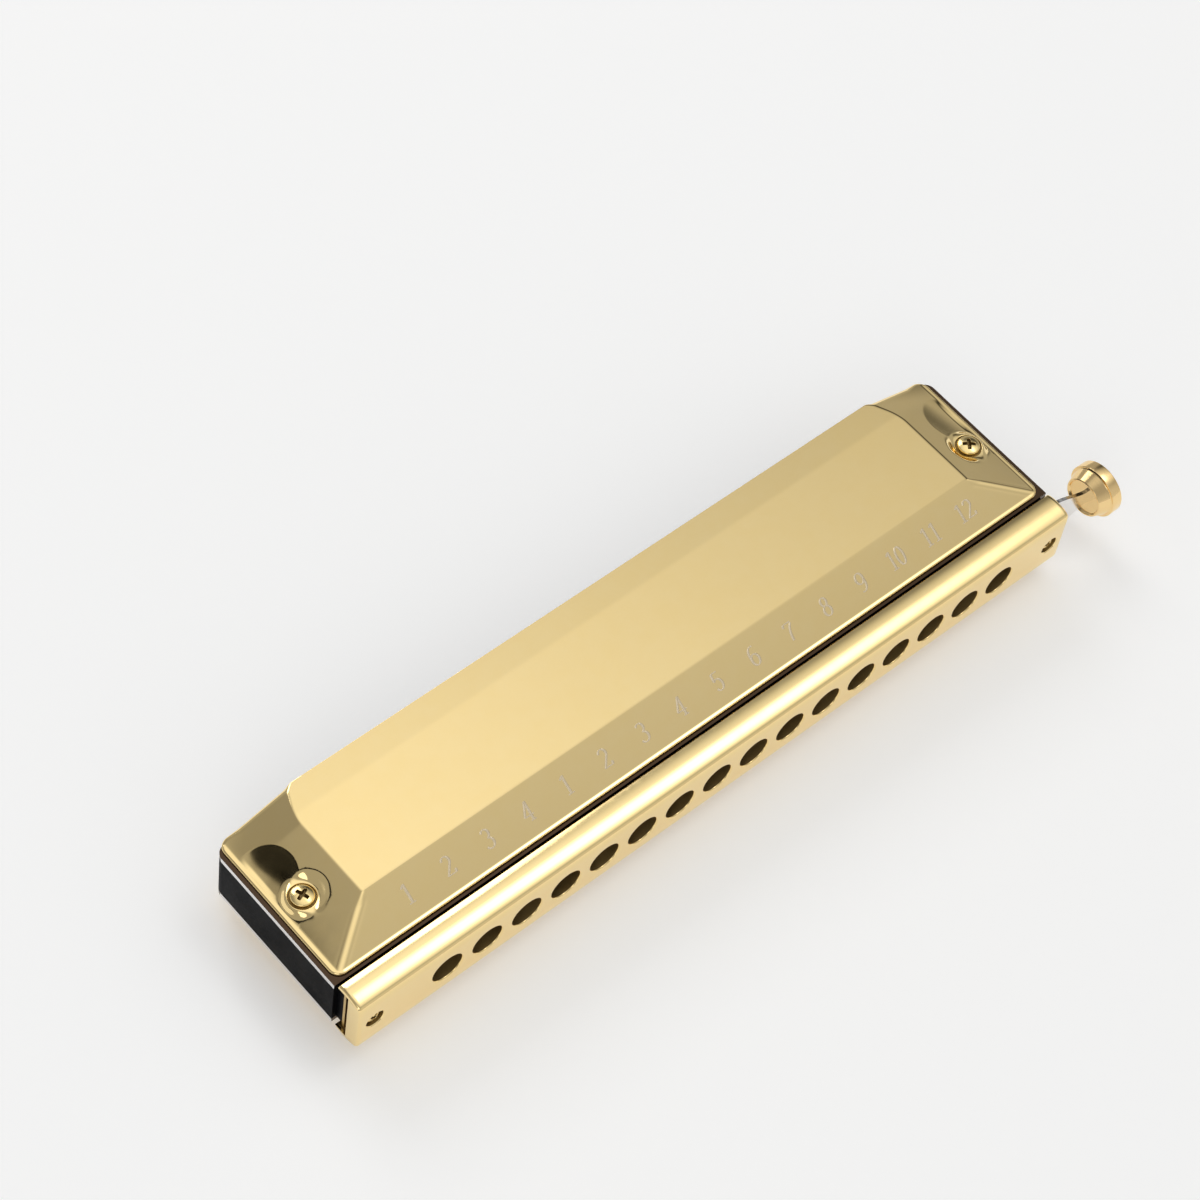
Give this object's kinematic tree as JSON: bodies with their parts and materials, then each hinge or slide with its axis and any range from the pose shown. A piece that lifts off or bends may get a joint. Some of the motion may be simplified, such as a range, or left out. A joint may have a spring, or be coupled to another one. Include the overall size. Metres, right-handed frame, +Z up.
{
  "type": "chromatic harmonica",
  "caption": "Long chromatic harmonica with gold covers and mouthpiece, round blow holes, a sprung slide worked by a turned side button, and reeds on two plates inside.",
  "frame": {"origin": "centre of the flat plateau of the lower cover, on which the instrument lies", "axes": "+X along the instrument towards the slide button, +Y from the mouthpiece to the back, +Z up"},
  "size_m": [0.1973, 0.0445, 0.0244],
  "materials": {
    "gold_plate": "polished gold plate",
    "silver_plate": "polished silver plate",
    "plain_brass": "bare, brushed",
    "comb_plastic": "moulded, semi-gloss",
    "spring_steel": "bright drawn wire",
    "sleeve_plastic": "matte"
  },
  "bodies": {
    "body": {"comb": "comb_plastic", "top_reed_plate": "silver_plate", "bottom_reed_plate": "silver_plate", "top_cover": "gold_plate", "bottom_cover": "gold_plate", "mouthpiece": "gold_plate", "slide_cage": "plain_brass", "slide_backplate": "plain_brass", "slide_spring": "spring_steel", "left_slide_sleeve": "sleeve_plastic", "right_slide_sleeve": "sleeve_plastic", "left_mouthpiece_screw": "gold_plate", "right_mouthpiece_screw": "gold_plate", "left_cover_bolt": "gold_plate", "right_cover_bolt": "gold_plate", "left_cover_nut": "gold_plate", "right_cover_nut": "gold_plate", "top_plate_screw_1": "plain_brass", "top_plate_screw_2": "plain_brass", "top_plate_screw_3": "plain_brass", "top_plate_screw_4": "plain_brass", "top_plate_screw_5": "plain_brass", "top_plate_screw_6": "plain_brass", "bottom_plate_screw_1": "plain_brass", "bottom_plate_screw_2": "plain_brass", "bottom_plate_screw_3": "plain_brass", "bottom_plate_screw_4": "plain_brass", "bottom_plate_screw_5": "plain_brass", "bottom_plate_screw_6": "plain_brass"},
    "slide": {"slide": "silver_plate", "slide_button": "gold_plate"}
  },
  "joints": [
    {"name": "slide_press", "type": "slide", "parent": "body", "child": "slide", "axis": [-1, 0, 0], "range_m": [0, 0.0045], "stiffness_N_per_m": 300, "springref_m": -0.005, "deforming": ["slide_spring"]}
  ]
}
